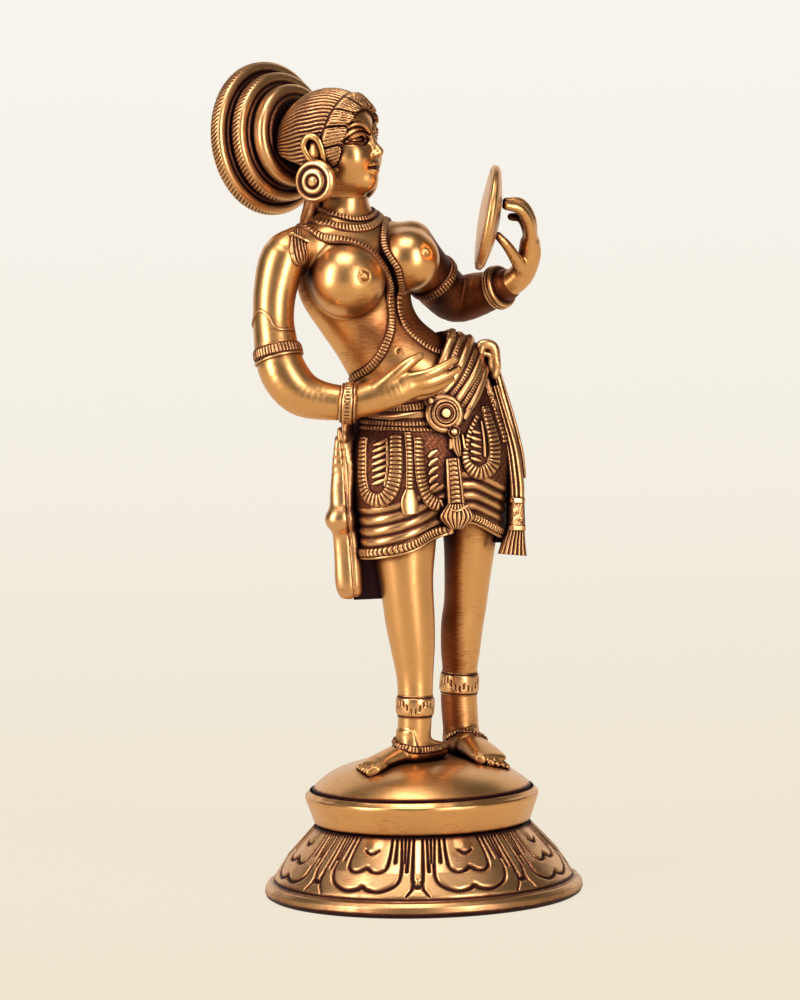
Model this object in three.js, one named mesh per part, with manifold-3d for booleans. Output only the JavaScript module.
// An apsara figurine in cast brass: a celestial dancer who looks into a hand mirror, on a lotus pedestal.
// Millimetres, +Z up. X runs to the right and Y away as one faces the figurine.
// Every casting has its own function with a grow argument: grow 0 is the piece, and a grown copy cuts its
// seat out of the neighbours, so that each joint keeps the same small gap.
import * as THREE from "three";
import { mergeVertices } from "three/addons/utils/BufferGeometryUtils.js";
import Module from "manifold-3d";

const wasm = await Module();
wasm.setup();
const { Manifold, Mesh } = wasm;

// Driving dimensions
const JOINT_GAP = 0.3; // between castings that touch
const FOOT_RADIUS = 44.3; // pedestal, at the floor
const FOOT_DROP = 0.9; // how far the foot rim reaches below the lotus skirt's own zero level
const FOOT_WIDTH = 6; // of the face that rests on the floor, with its rounded edge
const LOTUS_FOOT = [41.9, 3.9]; // radius and height where the petals meet the foot rim
const LOTUS_WAIST = [37.6, 10.6]; // radius and height half way up the petals
const LOTUS_TOP_RADIUS = 29.8; // where the collar sits
const LOTUS_TOP = 19; // height of the lotus skirt
const WALL = 3; // thickness of the hollow lotus casting
const COLLAR_RADIUS = 32.4; // collar, at its upper rim
const COLLAR_HEIGHT = 8.8; // collar, from the lotus skirt to its rim
const MOUND_RADIUS = 30.4;
const MOUND_WALL = 1.3; // upright edge of the mound above the collar
const MOUND_HEIGHT = 7.7; // dome of the mound above that edge
const MOUND_SEAT = 2; // depth of the recess that the mound sits in
const SPIGOT_RADIUS = 2.4; // pegs that join limbs, feet and pedestal
const SPIGOT_LENGTH = 5;
const BAND = 1.1; // thickness of bangles and armlets
const THIN_BAND = 0.77; // thickness of anklets and belt
const MIRROR_RADIUS = 14.6;
const MIRROR_EDGE = 1; // half thickness of the mirror at its rim
const MIRROR_DOME = 2.4; // rise of its back
const MIRROR_SWELL = 1.3; // rise of its face
const BUN_RADII = [22, 18.1, 14.3]; // hair bun, from the back disc to the front one
const BUN_DISC = 4.4; // thickness of one disc of the bun
const EARRING_RADIUS = 5.9;
const EARRING_THICKNESS = 2.8;
const ROSETTE_PLATE = [5.3, 0.1, 0.4]; // radius, and height of the edge and of the crown
const ROSETTE_BOSS = [4.1, 1.3, 1.9];
const ROSETTE_STUD = [1.75, 0.9, 1.6];
const ROSETTE_DEPTH = 1.9; // behind the rosette's own level
const CORD_WIDE = 1.3; // half width of the chest cords
const CORD_HIGH = 1.2; // half height of the chest cords
const ROPE_WIDE = 1.9; // half width of the looped ropes on the skirt
const ROPE_HIGH = 1.2;
const HEM_RADIUS = 1.3;
const PLEAT_RADIUS = 1.25;

const COLLAR_TOP = LOTUS_TOP + COLLAR_HEIGHT;
const MOUND_FOOT = COLLAR_TOP + MOUND_WALL;
const MOUND_TOP = MOUND_FOOT + MOUND_HEIGHT;
const UP = new THREE.Vector3(0, 0, 1);
const deg = THREE.MathUtils.degToRad;
const vec = (p) => new THREE.Vector3(p[0], p[1], p[2]);
const plus = (a, b, share = 1) => a.map((c, i) => c + b[i] * share);

// A closed solid from points and triangles, turned so that its faces point out.
function solidOf(points, triangles) {
  let volume = 0;
  const cross = new THREE.Vector3();
  for (const [a, b, c] of triangles) {
    volume += points[a].dot(cross.crossVectors(points[b], points[c]));
  }
  const faces = volume < 0 ? triangles.map(([a, b, c]) => [a, c, b]) : triangles;
  return new Manifold(
    new Mesh({
      numProp: 3,
      vertProperties: new Float32Array(points.flatMap((p) => [p.x, p.y, p.z])),
      triVerts: new Uint32Array(faces.flat()),
    }),
  );
}

function solidFromGeometry(geometry) {
  const g = geometry.clone();
  g.deleteAttribute("normal");
  g.deleteAttribute("uv");
  const merged = mergeVertices(g, 1e-3);
  const position = merged.getAttribute("position");
  const points = [];
  for (let i = 0; i < position.count; i++) {
    points.push(new THREE.Vector3().fromBufferAttribute(position, i));
  }
  const index = merged.index.array;
  const triangles = [];
  for (let i = 0; i < index.length; i += 3) {
    const [a, b, c] = [index[i], index[i + 1], index[i + 2]];
    if (a !== b && b !== c && a !== c) triangles.push([a, b, c]);
  }
  return solidOf(points, triangles);
}

// A skin over rings of equally many points, closed at both ends, or joined end to start as a hoop.
function skin(rings, hoop = false) {
  const sides = rings[0].length;
  const points = rings.flat();
  const triangles = [];
  const spans = hoop ? rings.length : rings.length - 1;
  for (let r = 0; r < spans; r++) {
    const next = (r + 1) % rings.length;
    for (let s = 0; s < sides; s++) {
      const t = (s + 1) % sides;
      const [a, b, c, d] = [r * sides + s, r * sides + t, next * sides + t, next * sides + s];
      triangles.push([a, b, c], [a, c, d]);
    }
  }
  if (!hoop) {
    for (const [ring, first] of [[0, true], [rings.length - 1, false]]) {
      const sum = rings[ring].reduce((total, p) => total.add(p), new THREE.Vector3());
      const centre = sum.divideScalar(sides);
      const hub = points.push(centre) - 1;
      for (let s = 0; s < sides; s++) {
        const [a, b] = [ring * sides + s, ring * sides + ((s + 1) % sides)];
        triangles.push(first ? [hub, b, a] : [hub, a, b]);
      }
    }
  }
  return solidOf(points, triangles);
}

function ellipse(centre, across, along, wide, deep, sides) {
  return Array.from({ length: sides }, (_, s) => {
    const angle = (2 * Math.PI * s) / sides;
    return centre
      .clone()
      .addScaledVector(across, wide * Math.cos(angle))
      .addScaledVector(along, deep * Math.sin(angle));
  });
}

const TRUNK_STATION = 6; // numbers in a trunk's station, which has a turn as well
const sizeOf = (s) => new THREE.Vector3(s[3], s[4] ?? s[3], s[5] ?? 0);

// Stations [x, y, z, half width, half depth] along a limb, made denser on a smooth curve.
function smooth(stations, steps) {
  const centres = new THREE.CatmullRomCurve3(stations.map(vec));
  const sizes = new THREE.CatmullRomCurve3(stations.map(sizeOf));
  const count = (stations.length - 1) * steps;
  return Array.from({ length: count + 1 }, (_, i) => {
    const t = i / count;
    return { at: centres.getPoint(t), size: sizes.getPoint(t), tangent: centres.getTangent(t) };
  });
}

// The two axes of a limb's section: the depth lies as near to Y as it can.
function sectionAxes(tangent) {
  const toY = new THREE.Vector3(0, 1, 0);
  const along = toY.addScaledVector(tangent, -toY.dot(tangent)).normalize();
  return [new THREE.Vector3().crossVectors(along, tangent), along];
}

const endOf = (i, count) => (i === 0 ? -1 : i === count - 1 ? 1 : 0);

// A limb: elliptical rings square to its own line.
function limb(stations, grow = 0, { sides = 12, steps = 1 } = {}) {
  const line = smooth(stations, steps);
  const rings = line.map(({ at, size, tangent }, i) => {
    const [across, along] = sectionAxes(tangent);
    const centre = at.clone().addScaledVector(tangent, endOf(i, line.length) * grow);
    return ellipse(centre, across, along, size.x + grow, size.y + grow, sides);
  });
  return skin(rings);
}

function levelAxes(turn) {
  const [c, s] = [Math.cos(deg(turn)), Math.sin(deg(turn))];
  return [new THREE.Vector3(c, s, 0), new THREE.Vector3(-s, c, 0)];
}

// A trunk: level elliptical rings [x, y, z, half width, half depth, degrees of turn about Z].
function trunk(stations, grow = 0, { sides = 20, steps = 1 } = {}) {
  const line = smooth(stations, steps);
  const rise = Math.sign(line.at(-1).at.z - line[0].at.z);
  const rings = line.map(({ at, size }, i) => {
    const [across, along] = levelAxes(size.z);
    const centre = at.clone().addScaledVector(UP, endOf(i, line.length) * rise * grow);
    return ellipse(centre, across, along, size.x + grow, size.y + grow, sides);
  });
  return skin(rings);
}

// A band round a limb or a trunk, between two places counted in stations along it.
function band(stations, from, to, thickness, grow = 0, sides = 16) {
  const centres = new THREE.CatmullRomCurve3(stations.map(vec));
  const sizes = new THREE.CatmullRomCurve3(stations.map(sizeOf));
  const level = stations[0].length === TRUNK_STATION;
  const ring = (place, extra, shift) => {
    const t = place / (stations.length - 1);
    const [at, size, tangent] = [centres.getPoint(t), sizes.getPoint(t), centres.getTangent(t)];
    const [across, along] = level ? levelAxes(size.z) : sectionAxes(tangent);
    const centre = at.clone().addScaledVector(tangent, shift);
    return ellipse(centre, across, along, size.x + extra, size.y + extra, sides);
  };
  const inner = grow ? -JOINT_GAP : JOINT_GAP * 1.5;
  const outer = JOINT_GAP + thickness + grow;
  const shoulder = outer - thickness / 3;
  const middle = (from + to) / 2;
  const rings = [
    ring(from, inner, -grow),
    ring(from, shoulder, -grow),
    ring(middle, outer, 0),
    ring(to, shoulder, grow),
    ring(to, inner, grow),
    ring(middle, inner, 0),
  ];
  return skin(rings, true);
}

const SMALL_BALL = 5; // a ball form below this radius needs fewer faces
function ball([x, y, z], [rx, ry, rz], grow = 0, yaw = 0, pitch = 0) {
  const small = Math.max(rx, ry, rz) < SMALL_BALL;
  const g = new THREE.SphereGeometry(1, small ? 10 : 16, small ? 7 : 12);
  g.scale(rx + grow, ry + grow, rz + grow);
  g.rotateX(deg(pitch));
  g.rotateZ(deg(yaw));
  g.translate(x, y, z);
  return solidFromGeometry(g);
}

// A turned piece: profile [radius, height] from the axis up and back, about an axis through a point.
function turned(profile, centre, axis, sides = 32) {
  const g = new THREE.LatheGeometry(profile.map(([r, h]) => new THREE.Vector2(r, h)), sides);
  const upright = new THREE.Vector3(0, 1, 0);
  g.applyQuaternion(new THREE.Quaternion().setFromUnitVectors(upright, vec(axis).normalize()));
  g.translate(...centre);
  return solidFromGeometry(g);
}

// A disc with a crowned edge.
function disc(radius, thickness, centre, axis, grow = 0, sides = 32) {
  const [r, h] = [radius + grow, thickness / 2 + grow];
  const [rim, shoulder] = [h * 0.3, r - h * 0.6];
  const profile = [[0, -h], [shoulder, -h], [r, -rim], [r, rim], [shoulder, h], [0, h]];
  return turned(profile, centre, axis, sides);
}

// A peg between two castings, from a point along a direction.
function spigot(from, towards, grow = 0) {
  const way = vec(towards).normalize();
  const rings = [-1, 1].map((end) => {
    const centre = vec(from).addScaledVector(way, end * (SPIGOT_LENGTH / 2 + grow));
    const across = new THREE.Vector3().crossVectors(way, new THREE.Vector3(0.3, 1, 0.2)).normalize();
    const along = new THREE.Vector3().crossVectors(way, across);
    return ellipse(centre, across, along, SPIGOT_RADIUS + grow, SPIGOT_RADIUS + grow, 10);
  });
  return skin(rings);
}

// A cord of oval section along points in front of the body.
function cord(points, wide, high, grow = 0) {
  return limb(points.map((p) => [...p, wide, high]), grow, { sides: 8 });
}

// A cord of round section along points that run round the body, open or closed to a loop.
function rope(points, radius, grow = 0, closed = false) {
  const curve = new THREE.CatmullRomCurve3(points.map(vec), closed);
  const count = points.length;
  const { normals, binormals, tangents } = curve.computeFrenetFrames(count, closed);
  const rings = Array.from({ length: closed ? count : count + 1 }, (_, i) => {
    const past = closed ? 0 : endOf(i, count + 1) * grow;
    const centre = curve.getPointAt(i / count).addScaledVector(tangents[i], past);
    return ellipse(centre, normals[i], binormals[i], radius + grow, radius + grow, 6);
  });
  return skin(rings, closed);
}

// A slab with an outline of [x, z] points, reaching from one y to another.
function slab(outline, [near, far], lift = 0) {
  const shape = new THREE.Shape(outline.map(([x, z]) => new THREE.Vector2(x, z)));
  const g = new THREE.ExtrudeGeometry(shape, { depth: far - near, bevelEnabled: false });
  g.rotateX(deg(90));
  g.translate(0, far, lift);
  return solidFromGeometry(g);
}

const join = (...solids) => solids.reduce((a, b) => a.add(b));

// The largest body of a solid after its neighbours' grown copies are cut out of it.
function seated(solid, ...neighbours) {
  const cut = neighbours.reduce((a, shape) => a.subtract(shape(JOINT_GAP)), solid);
  const bodies = cut.decompose();
  return bodies.reduce((a, b) => (a.volume() > b.volume() ? a : b));
}

// Pedestal: a hollow lotus skirt on a rolled foot rim, a collar and the mound that the dancer stands on
const CENTRE = [0, 0, 0];
const UPRIGHT = [0, 0, 1];
const PEDESTAL_SIDES = 48;
const lotusBase = () => {
  const profile = [
    [FOOT_RADIUS - FOOT_WIDTH, -FOOT_DROP],
    [FOOT_RADIUS - 1.2, -FOOT_DROP],
    [FOOT_RADIUS - 0.2, 0.4 - FOOT_DROP],
    [FOOT_RADIUS, 1.5 - FOOT_DROP],
    [FOOT_RADIUS - 0.2, 3 - FOOT_DROP],
    [FOOT_RADIUS - 1, 4 - FOOT_DROP],
    LOTUS_FOOT,
    LOTUS_WAIST,
    [LOTUS_TOP_RADIUS, LOTUS_TOP],
    [0, LOTUS_TOP],
    [0, LOTUS_TOP - WALL],
    [LOTUS_TOP_RADIUS - WALL, LOTUS_TOP - WALL],
    [FOOT_RADIUS - FOOT_WIDTH, -FOOT_DROP],
  ];
  return turned(profile, CENTRE, UPRIGHT, PEDESTAL_SIDES);
};
const collarShape = () => {
  const seat = MOUND_RADIUS + JOINT_GAP;
  const profile = [
    [0, LOTUS_TOP + JOINT_GAP],
    [LOTUS_TOP_RADIUS - 0.2, LOTUS_TOP + JOINT_GAP],
    [LOTUS_TOP_RADIUS + 0.35, LOTUS_TOP + 0.8],
    [COLLAR_RADIUS, COLLAR_TOP - 1.6],
    [COLLAR_RADIUS, COLLAR_TOP - 0.5],
    [COLLAR_RADIUS - 0.6, COLLAR_TOP],
    [seat + 0.4, COLLAR_TOP + 0.8],
    [seat, COLLAR_TOP + 0.2],
    [seat, COLLAR_TOP - MOUND_SEAT],
    [0, COLLAR_TOP - MOUND_SEAT],
  ];
  return turned(profile, CENTRE, UPRIGHT, PEDESTAL_SIDES);
};
const MOUND_RINGS = 6;
const moundHeight = (r) => MOUND_FOOT + MOUND_HEIGHT * (1 - (r / MOUND_RADIUS) ** 4);
const moundShape = () => {
  const crown = Array.from({ length: MOUND_RINGS }, (_, i) => {
    const r = MOUND_RADIUS * Math.sqrt(1 - i / MOUND_RINGS);
    return [r, moundHeight(r)];
  });
  const bottom = COLLAR_TOP - MOUND_SEAT + JOINT_GAP;
  const profile = [[0, bottom], [MOUND_RADIUS, bottom], ...crown, [0, MOUND_TOP]];
  return turned(profile, CENTRE, UPRIGHT, PEDESTAL_SIDES);
};

// Legs and feet
const RIGHT_LEG = [
  [-3.2, -4, 112, 9.6],
  [-3.4, -5, 100, 9.1],
  [-3, -6, 88, 7.5],
  [-2.2, -5.6, 76, 6.85],
  [-1.65, -5.5, 69.3, 6.2],
  [-1.2, -5.6, 60.5, 5.1],
  [-1.3, -5.8, 52, 4.75],
  [-1.8, -5.6, 43.5, 4.6],
  [-1.8, -5.4, 40, 4.4],
];
const RIGHT_FOOT = [
  [4.6, -0.8, 38.9, 3.1, 2.7],
  [1.2, -3.4, 39.4, 4, 3.2],
  [-4.6, -6.8, 39.2, 4.1, 3],
  [-11, -11.2, 37.8, 4.4, 2],
  [-13.4, -13.1, 36.9, 4.5, 1.5],
  [-16, -15, 35.9, 4.3, 1],
];
const LEFT_LEG = [
  [15, 5, 112, 9],
  [15, 6, 98, 7.4],
  [14.1, 7.6, 86.3, 6.4],
  [13.4, 8.8, 79, 6],
  [12.4, 9.6, 72.8, 5.9],
  [11.8, 10.6, 66, 5.5],
  [11.5, 11.6, 59.8, 4.9],
  [11.1, 12, 52, 5.1],
  [11.4, 12.2, 44, 5],
  [11.6, 12, 40, 4.8],
];
const LEFT_FOOT = [
  [10, 16.6, 38.4, 3.4, 3.4],
  [11.4, 12.6, 39.6, 4.6, 3.8],
  [13.6, 7, 39.4, 4.6, 3.2],
  [16.4, 1, 38.4, 4.9, 2.4],
  [18.4, -3.4, 37.3, 5.1, 1.8],
  [20.4, -7.8, 35.9, 4.7, 1],
];
const RIGHT_ANKLET = [5.61, 6.37]; // places along the leg, counted in stations
const LEFT_ANKLET = [6.1, 6.96];
// A foot: stations along the sole, half width level and half height upright.
function foot(stations, grow) {
  const line = smooth(stations, 1);
  const rings = line.map(({ at, size, tangent }, i) => {
    const across = new THREE.Vector3().crossVectors(UP, tangent).normalize();
    const along = new THREE.Vector3().crossVectors(tangent, across);
    const centre = at.clone().addScaledVector(tangent, endOf(i, line.length) * grow);
    return ellipse(centre, across, along, size.x + grow, size.y + grow, 12);
  });
  return skin(rings);
}
const soleSpigot = (leg, grow) => {
  const [x, y, z] = leg.at(-1);
  return spigot([x, y, z - SPIGOT_LENGTH], [0, 0, -1], grow);
};
const rightLeg = (grow = 0) =>
  join(limb(RIGHT_LEG, grow, { steps: 2 }), foot(RIGHT_FOOT, grow), soleSpigot(RIGHT_LEG, grow));
const leftLeg = (grow = 0) =>
  join(limb(LEFT_LEG, grow, { steps: 2 }), foot(LEFT_FOOT, grow), soleSpigot(LEFT_LEG, grow));
const rightAnklet = (grow = 0) => band(RIGHT_LEG, ...RIGHT_ANKLET, THIN_BAND, grow);
const leftAnklet = (grow = 0) => band(LEFT_LEG, ...LEFT_ANKLET, THIN_BAND, grow);

// Skirt: a draped hip cloth that covers the hips and both thighs, with a slanting hem
const HIPS = [
  [4.2, 1, 90, 17, 12, 4],
  [4.2, 1, 104, 18, 12.6, 4],
  [4, 1, 112, 20.6, 13.2, 4],
  [4, 1, 126, 20.6, 13.8, 4],
  [3.6, 1, 136, 19.2, 12.8, 6],
  [2.6, 1.2, 142, 17.2, 11.2, 8],
];
const RIGHT_THIGH = [
  [-4.4, -5.7, 90, 10.9, 11.2, 0],
  [-4.4, -5.6, 98, 11.2, 11.6, 0],
  [-4.8, -5, 108, 11.7, 12.2, 0],
  [-4.6, -4, 124, 11.8, 12.2, 0],
  [-4, -2, 132, 10, 10, 0],
];
const LEFT_THIGH = [
  [16.3, 5.6, 90, 9, 10, 0],
  [16.2, 5.6, 97, 9.4, 10.4, 0],
  [16, 4.4, 108, 9.8, 11.4, 0],
  [15.4, 3, 124, 10.6, 12, 0],
  [13, 2, 132, 9, 10, 0],
];
const HIP_SWELL = { at: [9.3, 1.8, 143], size: [11.6, 11.4, 12.2] }; // of the swung hip
// The outline [x, z] of all that is below the hems of the two thighs.
const BELOW_HEM = [
  [-40, 60],
  [40, 60],
  [40, 96.5],
  [26.9, 96.5],
  [24.6, 98.1],
  [20, 101],
  [15.9, 102.7],
  [10.4, 102.7],
  [10.4, 99.8],
  [8, 99.8],
  [4, 98.1],
  [-4, 95.4],
  [-14, 93.6],
  [-40, 93.6],
];
const BODY_DEPTH = [-30, 30]; // reach in y of anything that cuts right through the figure
const skirt = (grow = 0) =>
  join(
    trunk(HIPS, grow),
    trunk(RIGHT_THIGH, grow),
    trunk(LEFT_THIGH, grow),
    ball(HIP_SWELL.at, HIP_SWELL.size, grow),
  ).subtract(slab(BELOW_HEM, BODY_DEPTH, -grow));

// Torso, with breasts, shoulders and the stubs of both upper arms
const TORSO = [
  [2, 1, 136, 14, 9.5, 8],
  [0.6, 1, 145, 15.2, 10.2, 10],
  [-3.6, 1.4, 152, 14, 9.4, 16],
  [-9.6, 1.6, 159, 12.4, 8.6, 24],
  [-12.6, 1.2, 166, 13.6, 9.2, 31],
  [-13.2, 1, 173, 16.4, 10, 35],
  [-13.4, 1, 179, 17.6, 9.4, 35],
  [-15, 1, 183.6, 15.6, 8.4, 37],
  [-16.8, 0.8, 187.2, 11, 7, 38],
  [-17.2, 0.6, 189.8, 7.2, 6.4, 39],
  [-17.2, 0.6, 193, 6, 5.9, 40],
];
const FLANK = [
  [-26, -1, 174, 6],
  [-24.4, -0.6, 167, 6.3],
  [-19.8, 0.6, 160, 6.6],
  [-15, 1, 153, 6.8],
  [-11.4, 1, 146, 6.6],
];
const RIGHT_UPPER_ARM = [
  [-30.5, -9, 180, 5.4],
  [-34.6, -10.4, 176.4, 6.4],
  [-37, -12, 168, 5.9],
  [-37.6, -14, 160, 5.6],
  [-37, -16, 153, 6],
];
const RIGHT_FOREARM = [
  [-35.2, -17.6, 146, 6.5],
  [-31, -18.6, 140.4, 6.2],
  [-25, -19.4, 138, 5.3],
  [-16.7, -20, 137, 4.5],
];
const LEFT_UPPER_ARM = [
  [0.5, 5.5, 180, 6],
  [3.6, 9.6, 173.8, 6.7],
  [8, 15, 167.6, 6.9],
];
const LEFT_FOREARM = [
  [12.6, 19, 163.7, 6.6],
  [19, 17, 164.9, 6.1],
  [26.6, 11.2, 167.4, 4.5],
];
const RIGHT_ARM = [...RIGHT_UPPER_ARM, ...RIGHT_FOREARM];
const LEFT_ARM = [...LEFT_UPPER_ARM, ...LEFT_FOREARM];
const RIGHT_BREAST = { at: [-17.2, -8.6, 170.4], size: [10.4, 10.4, 10.4] };
const LEFT_BREAST = { at: [-0.4, -1.4, 175.4], size: [8.6, 8.6, 8.6] };
const forearm = (upper, fore, grow) => {
  const seam = upper.at(-1);
  const [at, next] = [seam.slice(0, 3), fore[0].slice(0, 3)];
  return join(limb([seam, ...fore], grow, { steps: 2 }), spigot(at, plus(next, at, -1), grow));
};
const torso = (grow = 0) =>
  join(
    trunk(TORSO, grow, { steps: 2, sides: 16 }),
    limb(FLANK, grow),
    ball(RIGHT_BREAST.at, RIGHT_BREAST.size, grow),
    ball(LEFT_BREAST.at, LEFT_BREAST.size, grow),
    limb(RIGHT_UPPER_ARM, grow, { steps: 2 }),
    limb(LEFT_UPPER_ARM, grow, { steps: 2 }),
  );
const rightArm = (grow = 0) => forearm(RIGHT_UPPER_ARM, RIGHT_FOREARM, grow);
const leftArm = (grow = 0) => forearm(LEFT_UPPER_ARM, LEFT_FOREARM, grow);
const RIGHT_WRIST = [
  [-25, -19.4, 138, 5.3],
  [-17.6, -20, 137, 4.9],
  [-11, -21.2, 138.6, 4.9],
];
const RIGHT_ARMLET = [4.02, 4.48]; // places along each line, counted in stations
const LEFT_ARMLET = [1.44, 1.76];
const RIGHT_BANGLE = [0.68, 1.32];
const LEFT_BANGLE = [4.58, 4.92];
const rightArmlet = (grow = 0) => band(RIGHT_ARM, ...RIGHT_ARMLET, BAND, grow);
const leftArmlet = (grow = 0) => band(LEFT_ARM, ...LEFT_ARMLET, BAND, grow);
const rightBangle = (grow = 0) => band(RIGHT_WRIST, ...RIGHT_BANGLE, BAND, grow);
const leftBangle = (grow = 0) => band(LEFT_ARM, ...LEFT_BANGLE, BAND, grow);

// Hands: a palm and five fingers each, the thumb first
const RIGHT_PALM = [
  [-17.2, -20, 137, 4.3, 4.4],
  [-11, -21.2, 138.6, 4.6, 4],
  [-5, -22, 140.6, 4.6, 3.2],
  [-1.4, -22, 141.8, 4, 2.6],
];
const RIGHT_FINGERS = [
  [[-9, -22.6, 141.4, 2.1], [-4.6, -23.4, 145, 1.9], [-1, -23, 147.8, 1.6], [2.2, -21.8, 149.6, 1.1]],
  [[-2.4, -23, 143.4, 1.7], [3.4, -23.2, 144.6, 1.5], [7.6, -22.2, 146.2, 1.3], [11.6, -20.4, 148.4, 1]],
  [[-2, -22.6, 141.6, 1.7], [4.2, -22.4, 142.4, 1.5], [9, -21, 144, 1.3], [12.6, -19.4, 145.8, 0.95]],
  [[-2.6, -21.8, 139.9, 1.6], [3.6, -21.2, 140.4, 1.4], [7.6, -20, 141.6, 1.25], [10.6, -18.6, 143, 0.95]],
  [[-3.6, -20.8, 138.6, 1.5], [1.6, -20.2, 138.8, 1.3], [5, -19.2, 139.6, 1.15], [7.4, -18.2, 140.6, 0.9]],
];
const LEFT_PALM = [
  [26.6, 11.2, 167, 3.9, 3.9],
  [30.6, 8.4, 170, 3.4, 3.9],
  [33, 5.8, 175, 3, 3.4],
  [33.4, 4.6, 179, 2.8, 3],
];
const LEFT_FINGERS = [
  [[31, 5.6, 172, 2], [29.4, 1.6, 174.6, 1.7], [27, -1.4, 178.4, 1.4], [24.4, -2.6, 181.4, 1.1]],
  [[33.6, 3.6, 178.4, 1.7], [33.2, 0.4, 184, 1.6], [30.8, -2, 188.4, 1.5], [26.8, -3.4, 189.6, 1.2]],
  [[33.8, 5, 179.4, 1.7], [33.6, 2.6, 185.6, 1.6], [31, 0.6, 190, 1.5], [27, -0.4, 190.6, 1.2]],
  [[33.4, 6.8, 179, 1.6], [33.4, 5.2, 184.6, 1.5], [31.2, 3.6, 188.8, 1.4], [27.6, 2.6, 189.4, 1.1]],
  [[32.6, 8.4, 177.6, 1.5], [32.8, 7.8, 182, 1.4], [31.2, 6.6, 185.8, 1.3], [28.4, 5.8, 186.4, 1.1]],
];
const hand = (palm, fingers, grow) =>
  join(limb(palm, grow), ...fingers.map((finger) => limb(finger, grow, { sides: 8 })));
const rightHand = (grow = 0) => hand(RIGHT_PALM, RIGHT_FINGERS, grow);
const leftHand = (grow = 0) => hand(LEFT_PALM, LEFT_FINGERS, grow);
const MIRROR_CENTRE = [21.6, -2.6, 186.4];
const MIRROR_AXIS = [-0.981, -0.04, 0.189];
const MIRROR_RINGS = [0, 0.3, 0.6, 0.9]; // radii on the domes, as shares of the mirror's
const mirror = (grow = 0) => {
  const dome = (side, rise) =>
    MIRROR_RINGS.map((r) => [r * MIRROR_RADIUS, side * (MIRROR_EDGE + rise * (1 - r ** 2) + grow)]);
  const rim = MIRROR_EDGE * 0.6;
  const [back, face] = [dome(-1, MIRROR_DOME), dome(1, MIRROR_SWELL).reverse()];
  const edge = [[MIRROR_RADIUS + grow, -rim], [MIRROR_RADIUS + grow, rim]];
  return turned([...back, ...edge, ...face], MIRROR_CENTRE, MIRROR_AXIS);
};

// Head, hair and ear discs. Places on the head are given forward, to the figurine's right and up.
const HEAD_CENTRE = [-19.4, 0.2, 207];
const HEAD_SCALE = 1.06;
const HEAD_TURN = 62; // degrees from straight ahead to the figurine's left
const HEAD_RAISE = 8; // degrees that the chin is raised
const headFront = [
  Math.sin(deg(HEAD_TURN)) * Math.cos(deg(HEAD_RAISE)),
  -Math.cos(deg(HEAD_TURN)) * Math.cos(deg(HEAD_RAISE)),
  Math.sin(deg(HEAD_RAISE)),
];
const headSide = [-Math.cos(deg(HEAD_TURN)), -Math.sin(deg(HEAD_TURN)), 0];
const headUp = new THREE.Vector3().crossVectors(vec(headSide), vec(headFront)).toArray();
const fromHead = (forward, side, up) => {
  const reached = plus(plus(HEAD_CENTRE, headFront, forward * HEAD_SCALE), headSide, side * HEAD_SCALE);
  return plus(reached, headUp, up * HEAD_SCALE);
};
// An egg form on the head: its centre, and its half sizes forward, sideways and up.
const headEgg = (centre, [forward, side, up], grow = 0) => {
  const size = [side, forward, up].map((r) => r * HEAD_SCALE);
  return ball(fromHead(...centre), size, grow, HEAD_TURN, -HEAD_RAISE);
};
const NECK = [
  [-17.2, 0.6, 188, 5.7],
  [-17.3, 0.5, 192, 5.6],
  [-17.8, 0.3, 198, 5.8],
  [-18.2, 0.2, 202, 5.8],
];
const SKULL_SIZE = [11.6, 9.5, 11];
const EAR_SIDE = 10.8; // from the middle of the head
const EAR_ROOT = 0.7; // how deep an ear is rooted in the skull
const EAR_OPENING_OUT = 1.6; // from the ear to the middle of its opening in the hair
const EAR_OPENING_ROOT = 0.3; // how deep that opening goes into the skull
const EARRING_OUT = 0.8; // from the ear to the middle of the disc that hangs from it
const beyondSkull = (out, root) => out - SKULL_SIZE[1] + root;
const ear = (side, grow) =>
  headEgg([-0.8, side * EAR_SIDE, -0.6], [2.9, beyondSkull(EAR_SIDE, EAR_ROOT), 4], grow);
const earOpening = (side, grow) => {
  const out = EAR_SIDE + EAR_OPENING_OUT;
  return headEgg([-1, side * out, -0.8], [3.4, beyondSkull(out, EAR_OPENING_ROOT), 4.6], -grow);
};
const head = (grow = 0) =>
  join(
    headEgg([-0.8, 0, 2.6], SKULL_SIZE, grow),
    headEgg([3.2, 0, -4.6], [7.6, 7.2, 9], grow),
    headEgg([7.4, 0, -10.4], [2.4, 2.6, 2.3], grow),
    headEgg([10.6, 0, -2.6], [1.8, 1.4, 2.4], grow),
    ear(1, grow),
    ear(-1, grow),
    limb(NECK, grow),
  );
const HAIR_RISE = 1.6; // of the hair over the skull
const NAPE_LEVEL = -7.2; // where the hair ends below, under the middle of the head
const NAPE_SLOPE = -26.6; // degrees that this edge rises towards the back
const NAPE_REACH = 60; // more than the size of the head
const hairCap = (grow = 0) => {
  const skull = headEgg([-1.4, 0, 2.8], SKULL_SIZE.map((r) => r + HAIR_RISE), grow);
  const back = headEgg([-5.4, 0, 1.4], [11.2, 9.8, 10.4], grow);
  const brow = headEgg([14.6, 0, -6.4], [13.2, 12.6, 15.6], -grow);
  const below = new THREE.BoxGeometry(NAPE_REACH, NAPE_REACH, NAPE_REACH);
  below.translate(0, 0, -NAPE_REACH / 2 - grow);
  below.rotateX(deg(-HEAD_RAISE - NAPE_SLOPE));
  below.rotateZ(deg(HEAD_TURN));
  below.translate(...fromHead(0, 0, NAPE_LEVEL));
  const ears = [1, -1].map((side) => earOpening(side, grow));
  return join(skull, back).subtract(join(brow, ...ears, solidFromGeometry(below)));
};
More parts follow.
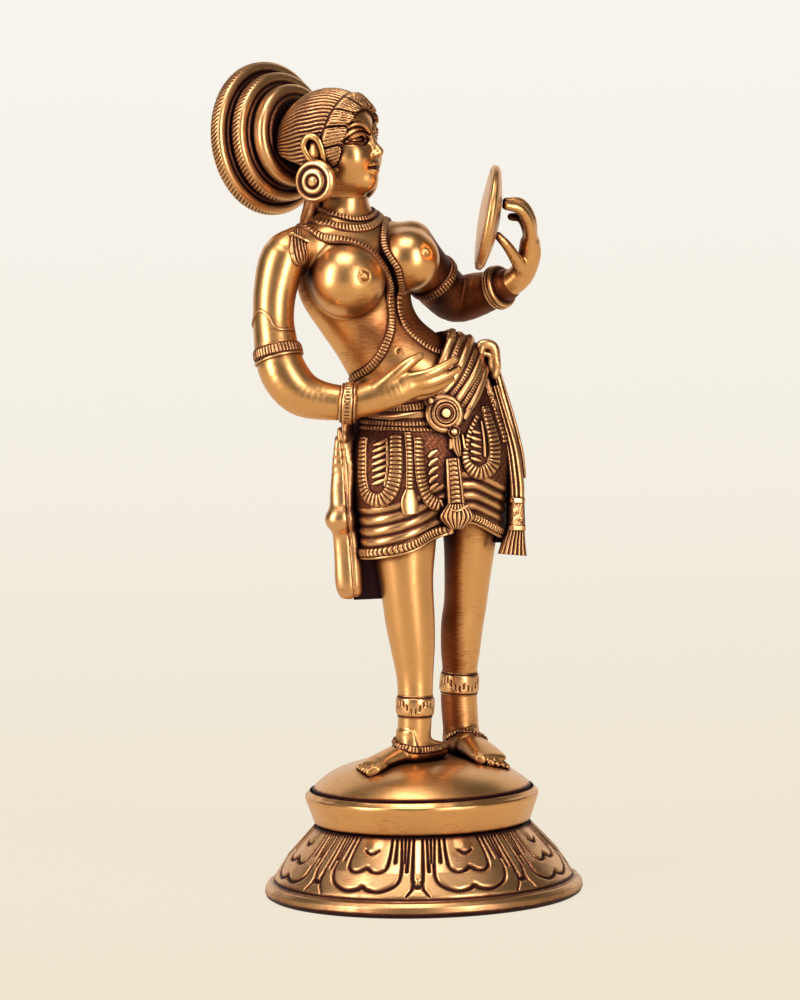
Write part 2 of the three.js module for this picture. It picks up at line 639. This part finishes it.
const NAPE_LOCK = [
  [-24.4, 6, 198, 3.4],
  [-25.6, 4.4, 192, 3.2],
  [-27, 1, 187, 3],
  [-28.4, -3, 184.4, 2],
];
const napeLock = (grow = 0) => limb(NAPE_LOCK, grow, { steps: 2 });
const BUN_TURN = 47; // degrees, the way the bun's discs face
const BUN_LEAN = 4; // degrees that they lean back
const bunAxis = [
  Math.sin(deg(BUN_TURN)) * Math.cos(deg(BUN_LEAN)),
  -Math.cos(deg(BUN_TURN)) * Math.cos(deg(BUN_LEAN)),
  Math.sin(deg(BUN_LEAN)),
];
const BUN_BACK = [-38.6, 17.4, 209.6];
const bunAt = (i) => plus(BUN_BACK, bunAxis, i * (BUN_DISC + JOINT_GAP));
const bunDisc = (i) => (grow = 0) => disc(BUN_RADII[i], BUN_DISC, bunAt(i), bunAxis, grow, 40);
const EARRING_AT = [-1.4, EAR_SIDE + EARRING_OUT, -8.8];
const earring = (side) => (grow = 0) => {
  const [forward, out, up] = EARRING_AT;
  const axis = headSide.map((c) => c * side);
  return disc(EARRING_RADIUS, EARRING_THICKNESS, fromHead(forward, side * out, up), axis, grow, 24);
};
const rightEarring = earring(1);
const leftEarring = earring(-1);

// Neck rows, chest cords and the shoulder leaf, along points on the skin
const CHOKER = [
  [-18.9, -7.6, 187.9],
  [-15, -6.7, 187],
  [-11.8, -4.6, 187],
  [-9.7, -1.5, 188.1],
  [-9.5, 2.3, 189.2],
  [-11.4, 5.6, 189.7],
  [-14.7, 7.2, 190],
  [-18.3, 7.1, 190.3],
  [-21.5, 5.5, 190.1],
  [-23.8, 2.6, 189.5],
  [-24.6, -1, 189.4],
  [-22.8, -5.3, 189.2],
];
const COLLAR_ROW = [
  [-19.9, -9.5, 185.4],
  [-15.6, -8.7, 184.6],
  [-11.8, -6.6, 184.6],
  [-9, -3.4, 185.6],
  [-7.7, 0.3, 187],
  [-8, 4.4, 188.2],
  [-10.9, 7.7, 188.8],
  [-14.9, 8.9, 188.1],
  [-18.6, 7.9, 188],
  [-21.7, 5.9, 188],
  [-24.3, 3.4, 187.3],
  [-26.3, 0.2, 186.7],
  [-27.1, -3.4, 186.7],
  [-24.5, -7.9, 186.7],
];
const CHOKER_RADIUS = 1;
const COLLAR_ROW_RADIUS = 1.2;
const choker = (grow = 0) => rope(CHOKER, CHOKER_RADIUS, grow, true);
const collarRow = (grow = 0) => rope(COLLAR_ROW, COLLAR_ROW_RADIUS, grow, true);
const RIGHT_STRAND = [
  [-24.1, -11.7, 182.5],
  [-19.1, -12, 181.7],
  [-13.7, -11.9, 180.4],
  [-9.3, -11.4, 177.3],
  [-6.5, -10.1, 172.8],
  [-5.4, -7.2, 168.3],
  [-5.5, -5.8, 163.2],
  [-5.4, -6.9, 157.8],
  [-6.8, -8.8, 153],
  [-9.6, -8.5, 148.3],
  [-13.2, -6.5, 145],
];
const LEFT_STRAND = [
  [-6.8, -3, 184.3],
  [-7, -6.8, 180.6],
  [-5.6, -9.1, 176.4],
  [-3.2, -9.3, 172.1],
  [-2.4, -6.3, 168.1],
  [-2.8, -4.4, 162.9],
  [-1.7, -5.4, 157.5],
  [1.8, -6.4, 153.6],
  [6, -6.2, 150.5],
];
const rightStrand = (grow = 0) => cord(RIGHT_STRAND, CORD_WIDE, CORD_HIGH, grow);
const leftStrand = (grow = 0) => cord(LEFT_STRAND, CORD_WIDE, CORD_HIGH, grow);
const SHOULDER_LEAF = { at: [-30.8, -15, 179.4], size: [3, 2.2, 4.6], turn: 30 };
const shoulderTassel = (grow = 0) => ball(SHOULDER_LEAF.at, SHOULDER_LEAF.size, grow, SHOULDER_LEAF.turn);

// Belt, hip pleats, buckle and the ropes and tassels that hang from them
const BELT_STATIONS = [3.2, 4.12]; // places on the hips, counted in stations
const belt = (grow = 0) => band(HIPS, ...BELT_STATIONS, THIN_BAND, grow, 28);
const PLEATS = [
  [[2.6, -11.3, 139.5], [6.3, -10.7, 142.8], [8.4, -9.8, 147.2], [10.5, -6.8, 152.2], [11.3, -0.5, 155.3]],
  [[6.4, -11.8, 137], [9.7, -10.7, 140.5], [12.5, -9.7, 144.5], [14.9, -6.6, 149.6], [16.5, -0.8, 152.9]],
  [[10.2, -11.5, 134.3], [13.1, -10, 138], [16, -8.2, 141.7], [18.4, -5.3, 146.1], [19.5, -0.3, 149.2]],
  [[13.7, -10.7, 131.6], [16.3, -8.7, 135.4], [18.5, -6.4, 139.3], [20.1, -3.8, 143.1], [20.9, 0.1, 145.8]],
];
const hipPleats = (grow = 0) => {
  const middle = (p, q) => plus(p, plus(q, p, -1), 0.5);
  const between = PLEATS.slice(1).map((pleat, i) => pleat.map((p, k) => middle(p, PLEATS[i][k])));
  return join(...[...PLEATS, ...between].map((points) => rope(points, PLEAT_RADIUS, grow)));
};
const ROSETTE_CENTRE = [8.6, -13.6, 133.4];
const ROSETTE_AXIS = [0.22, -0.97, 0.1];
const ROSETTE_STUDS = [[-3.9, 3.4], [2.3, -5.1]]; // x and z from the centre
const rosette = (grow = 0) => {
  const domed = ([radius, edge, crown]) => [
    [0, -ROSETTE_DEPTH - grow],
    [radius + grow, -ROSETTE_DEPTH - grow],
    [radius + grow, edge + grow],
    [radius / 2, crown + grow],
    [0, crown + grow],
  ];
  const [plate, boss, stud] = [ROSETTE_PLATE, ROSETTE_BOSS, ROSETTE_STUD].map(domed);
  const places = ROSETTE_STUDS.map(([x, z]) => plus(ROSETTE_CENTRE, [x, 0, z]));
  const studs = places.map((place) => turned(stud, place, ROSETTE_AXIS, 12));
  const round = [plate, boss].map((profile) => turned(profile, ROSETTE_CENTRE, ROSETTE_AXIS, 20));
  return join(...round, ...studs);
};
const BUCKLE_TASSEL = [
  [11.2, -13, 128, 1.2],
  [11.5, -13.3, 124.6, 1.7],
  [12, -13, 121.6, 0.8],
];
const tassel = (grow = 0) => limb(BUCKLE_TASSEL, grow, { sides: 8 });
const RIBBED_TASSEL = [
  [-1.8, -14.7, 128.3, 1.2, 1.2],
  [-1.4, -16.2, 124, 1.2, 1.2],
  [-1.4, -16.7, 119.5, 1.2, 1.2],
  [-1.5, -17, 113, 1.3, 1.2],
  [-1.6, -17.1, 109.6, 2.6, 1.2],
  [-1.4, -17.1, 106.2, 2.3, 1.2],
];
const ribbedTassel = (grow = 0) => limb(RIBBED_TASSEL, grow, { sides: 8, steps: 2 });
const OUTER_ROPE = [
  [-13.6, -10.9, 126.9],
  [-14, -11.9, 123],
  [-14.2, -12.3, 119.1],
  [-14.2, -12.5, 115.2],
  [-13.2, -13.8, 111.6],
  [-10.2, -16, 110.2],
  [-7.1, -17.1, 112.1],
  [-5.6, -17.1, 115.7],
  [-5.1, -16.9, 119.6],
  [-5, -16.5, 123.6],
  [-4.9, -15.2, 127.4],
];
const INNER_ROPE = [
  [1.1, -14.3, 126.8],
  [1.2, -15, 123.6],
  [1.3, -15.3, 120.4],
  [1.5, -15.3, 117.2],
  [2, -15.1, 114],
  [3.1, -14.4, 111],
  [5, -13, 108.9],
  [7.6, -11.9, 109],
];
const LEFT_ROPE = [
  [19.4, -6.2, 134.5],
  [20.4, -6.8, 130.7],
  [21.4, -7.2, 126.9],
  [22, -7.2, 122.9],
  [21.6, -7.4, 119],
  [18.8, -8.9, 116.7],
  [15.5, -10.3, 117.8],
  [13.8, -11, 121.2],
  [14.2, -11, 125.1],
  [15.6, -10.3, 128.8],
];
const rightOuterSwag = (grow = 0) => cord(OUTER_ROPE, ROPE_WIDE, ROPE_HIGH, grow);
const rightInnerSwag = (grow = 0) => cord(INNER_ROPE, ROPE_WIDE, ROPE_HIGH, grow);
const leftSwag = (grow = 0) => cord(LEFT_ROPE, ROPE_WIDE, ROPE_HIGH, grow);
const RIGHT_HEM = [
  [8.8, -11.1, 101.4],
  [3.7, -13.9, 100],
  [0.6, -16.2, 98.2],
  [-4.6, -17.4, 96.6],
  [-11.4, -14.8, 95.5],
  [-15.1, -9.3, 95.1],
  [-15.6, -4.2, 95.1],
  [-14.5, 0.2, 95.2],
  [-12.7, 4.3, 95.3],
  [-10.1, 7.7, 95.3],
  [-6.8, 10.3, 95.8],
  [-3, 12.1, 96.9],
  [1, 13.2, 98.4],
  [5.6, 13.6, 100.2],
];
const LEFT_HEM = [
  [9.4, -11.1, 104.5],
  [13.5, -9.7, 104.5],
  [17.3, -7.7, 103.4],
  [20.4, -5.5, 101.6],
  [23, -2.6, 100],
  [25, 1.1, 99.2],
  [25.9, 5.8, 99.7],
  [24.4, 11, 101.2],
  [20.3, 15.1, 103],
  [15.1, 16.1, 104.1],
];
const rightHem = (grow = 0) => rope(RIGHT_HEM, HEM_RADIUS, grow);
const leftHem = (grow = 0) => rope(LEFT_HEM, HEM_RADIUS, grow);

// Sashes: one between the thighs and one at each side
const FRONT_SASH = [
  [10.4, -12.9, 120.8, 2, 1.2],
  [10.8, -13.3, 114.6, 2.3, 1.3],
  [11.2, -12.9, 107.6, 2.6, 1.3],
  [11.2, -13.3, 104.6, 4.6, 1.3],
  [11.1, -13, 101.8, 1.8, 1],
];
const frontSash = (grow = 0) => limb(FRONT_SASH, grow, { sides: 10, steps: 2 });
const RIGHT_SASH = [
  [-18.4, -4, 138, 1.6, 4],
  [-18.6, -6.6, 129, 1.8, 3.6],
  [-20, -7, 113, 2.1, 3.6],
  [-20.6, -7, 108, 2.6, 3.6],
  [-20.8, -7, 104.6, 3.9, 3.6],
  [-19.6, -7, 100.6, 2.4, 3.6],
  [-18.9, -7, 94, 2.4, 3.8],
  [-18.8, -7, 85, 2.5, 3.8],
  [-18.5, -7, 82.3, 2.1, 3.4],
];
const rightSash = (grow = 0) => limb(RIGHT_SASH, grow, { sides: 10, steps: 2 });
// Outline [x, z] of the rough web of metal between the right sash and the leg, and its reach in y
const SASH_WEB = [
  [-17, 136],
  [-17.6, 82],
  [-9, 82.2],
  [-7.6, 84],
  [-9.4, 92],
  [-12, 110],
  [-14, 136],
];
const WEB_DEPTH = [-6.4, -1];
const sashWeb = () => slab(SASH_WEB, WEB_DEPTH);
const LEFT_SASH = [
  [22.4, -0.2, 144.6, 1.6, 1.6],
  [24.4, 0.4, 138, 2.6, 1.8],
  [25.8, 0.6, 130, 3, 1.8],
  [27.5, 0.8, 121, 3.1, 1.9],
  [28.2, 0.6, 113, 2.8, 1.9],
  [28.1, 0, 107.4, 2.5, 1.8],
  [28, -0.2, 101, 2.6, 1.8],
  [27.3, -0.4, 96.6, 3.3, 1.6],
  [26.8, -0.6, 93, 4, 1.5],
];
const leftSash = (grow = 0) => limb(LEFT_SASH, grow, { sides: 10, steps: 2 });
const SASH_BOW = [
  [18.6, -1.4, 147.4, 1.3],
  [19.2, -1.8, 151, 1.4],
  [22.4, -1.4, 150.8, 1.4],
  [23.2, -0.8, 146.6, 1.5],
  [22.6, -0.4, 143, 1.6],
];
const BOW_KNOT = { at: [21, 0.2, 148], size: [2.6, 1.8, 3.2] };
const sashBow = (grow = 0) =>
  join(limb(SASH_BOW, grow, { sides: 8 }), ball(BOW_KNOT.at, BOW_KNOT.size, grow));

const BRASS = { color: 0xb5813c, roughness: 0.34, metalness: 1 };
const PATINA = { color: 0x7a5230, roughness: 0.46, metalness: 1 };
const figurine = new THREE.Group();
function add(name, solid, finish) {
  const mesh = solid.getMesh();
  const geometry = new THREE.BufferGeometry();
  const positions = new Float32Array(mesh.numVert * 3);
  for (let i = 0; i < mesh.numVert; i++) {
    const start = i * mesh.numProp;
    positions.set(mesh.vertProperties.subarray(start, start + 3), i * 3);
  }
  geometry.setAttribute("position", new THREE.BufferAttribute(positions, 3));
  geometry.setIndex(new THREE.BufferAttribute(mesh.triVerts, 1));
  geometry.computeVertexNormals();
  const piece = new THREE.Mesh(geometry, new THREE.MeshStandardMaterial(finish));
  piece.name = name;
  figurine.add(piece);
}

// Each casting, and the neighbours whose seats are cut out of it
const pieces = [
  ["lotus_base", lotusBase, [], BRASS],
  ["base_collar", collarShape, [], BRASS],
  ["ground_mound", moundShape, [rightLeg, leftLeg], BRASS],
  ["right_leg", rightLeg, [], BRASS],
  ["left_leg", leftLeg, [rightLeg], BRASS],
  ["right_anklet", rightAnklet, [rightLeg], BRASS],
  ["left_anklet", leftAnklet, [leftLeg], BRASS],
  ["torso", torso, [head, rightArm, leftArm], BRASS],
  ["skirt", skirt, [rightLeg, leftLeg, torso], PATINA],
  ["right_arm", rightArm, [], BRASS],
  ["left_arm", leftArm, [], BRASS],
  ["right_armlet", rightArmlet, [rightArm, torso], BRASS],
  ["left_armlet", leftArmlet, [leftArm, torso], BRASS],
  ["right_hand", rightHand, [rightArm, torso, skirt], BRASS],
  ["left_hand", leftHand, [leftArm, mirror], BRASS],
  ["right_bangle", rightBangle, [rightArm, rightHand, torso, skirt], BRASS],
  ["left_bangle", leftBangle, [leftArm, leftHand], BRASS],
  ["mirror", mirror, [], BRASS],
  ["head", head, [], BRASS],
  ["hair_cap", hairCap, [head, torso], PATINA],
  ["bun_back_disc", bunDisc(0), [bunDisc(1)], PATINA],
  ["bun_middle_disc", bunDisc(1), [bunDisc(2), hairCap, head], PATINA],
  ["bun_front_disc", bunDisc(2), [hairCap, head], PATINA],
  ["nape_lock", napeLock, [head, torso, hairCap, bunDisc(0), bunDisc(1), bunDisc(2)], PATINA],
  ["right_ear_disc", rightEarring, [head, hairCap, torso, napeLock], BRASS],
  ["left_ear_disc", leftEarring, [head, hairCap, torso], BRASS],
  ["choker", choker, [torso, head, hairCap, rightEarring, leftEarring, napeLock], BRASS],
  ["collar_row", collarRow, [torso, head, choker, rightEarring, leftEarring, napeLock], BRASS],
  ["right_chest_strand", rightStrand, [torso, skirt, choker, collarRow, rightHand], BRASS],
  ["left_chest_strand", leftStrand, [torso, skirt, choker, collarRow, rightStrand, rightHand], BRASS],
  ["shoulder_tassel", shoulderTassel, [torso, rightStrand, collarRow], BRASS],
  ["belt", belt, [skirt, torso, rightHand, rightBangle, rightArm, rightStrand, leftStrand], PATINA],
  ["hip_pleats", hipPleats, [skirt, torso, belt, rightHand, leftStrand], PATINA],
  ["belt_rosette", rosette, [skirt, belt, rightHand, hipPleats], BRASS],
  ["belt_tassel", tassel, [skirt, rosette, belt, hipPleats], BRASS],
  ["front_sash", frontSash, [skirt, rosette, tassel, belt, rightLeg, leftLeg], PATINA],
  ["right_outer_swag", rightOuterSwag, [skirt, belt], PATINA],
  ["right_inner_swag", rightInnerSwag, [skirt, belt, rightOuterSwag, frontSash], PATINA],
  ["ribbed_tassel", ribbedTassel, [skirt, belt, rightOuterSwag, rightInnerSwag], PATINA],
  ["left_swag", leftSwag, [skirt, belt, frontSash, rosette, tassel, hipPleats], PATINA],
  ["right_hem_band", rightHem, [skirt, frontSash, rightLeg, leftLeg], PATINA],
  ["left_hem_band", leftHem, [skirt, frontSash, rightLeg, leftLeg, rightHem], PATINA],
  ["right_sash", rightSash, [skirt, belt, rightHem, rightLeg, rightBangle, rightArm, torso], PATINA],
  ["sash_web", sashWeb, [skirt, belt, rightHem, rightLeg, rightSash, rightBangle, torso], PATINA],
  ["left_sash", leftSash, [skirt, belt, leftHem, leftLeg, leftSwag, torso, hipPleats], PATINA],
  ["sash_bow", sashBow, [skirt, belt, leftSash, torso, leftArm, hipPleats], PATINA],
];
for (const [name, shape, neighbours, finish] of pieces) {
  add(name, seated(shape(0), ...neighbours), finish);
}

// The origin is under the middle of the figurine's box, on the surface that it stands on.
const box = new THREE.Box3().setFromObject(figurine);
figurine.position.set(-(box.min.x + box.max.x) / 2, -(box.min.y + box.max.y) / 2, -box.min.z);
const apsara = new THREE.Group();
apsara.add(figurine);

export default apsara;
